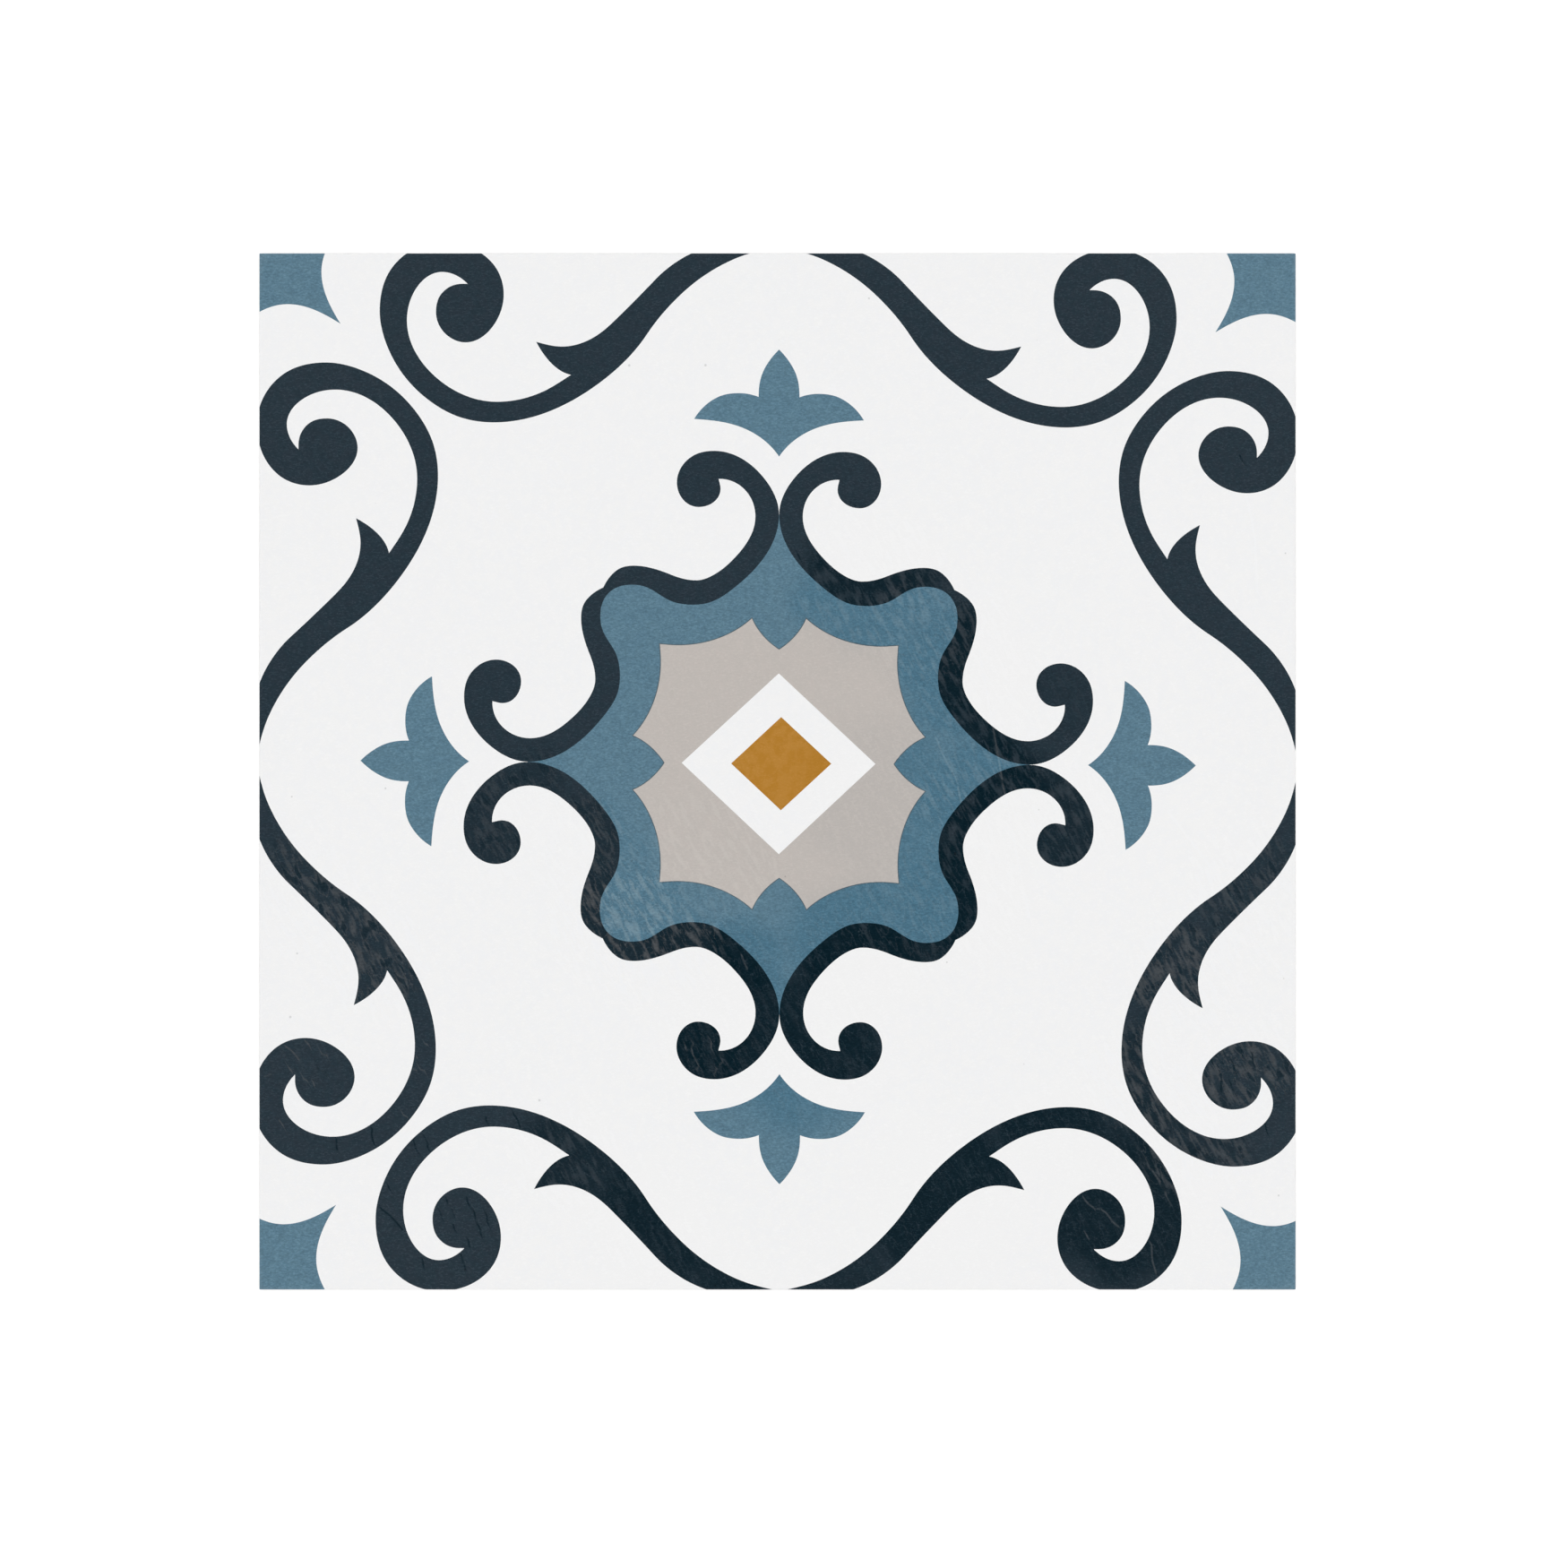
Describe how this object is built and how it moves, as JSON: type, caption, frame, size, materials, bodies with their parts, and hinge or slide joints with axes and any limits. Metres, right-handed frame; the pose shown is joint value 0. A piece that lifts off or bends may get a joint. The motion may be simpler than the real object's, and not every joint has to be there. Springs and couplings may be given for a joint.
{
  "type": "vinyl floor tile",
  "caption": "Square die-cut vinyl floor tile with a printed scroll-ornament face and a flat back that is glued down, its edges butting against the next tiles.",
  "frame": {"origin": "centre of the tile's flat back, the face that is glued to the floor", "axes": "+Z out of the printed face, +X to the picture's right and +Y to its top, both along the cut edges"},
  "size_m": [0.3048, 0.3048, 0.0015],
  "materials": {
    "printed_vinyl": "satin, lightly embossed like slate under a clear wear layer; near-white ground printed in navy, slate blue, warm grey and ochre"
  },
  "bodies": {
    "root": {"vinyl_tile": "printed_vinyl"}
  },
  "joints": []
}
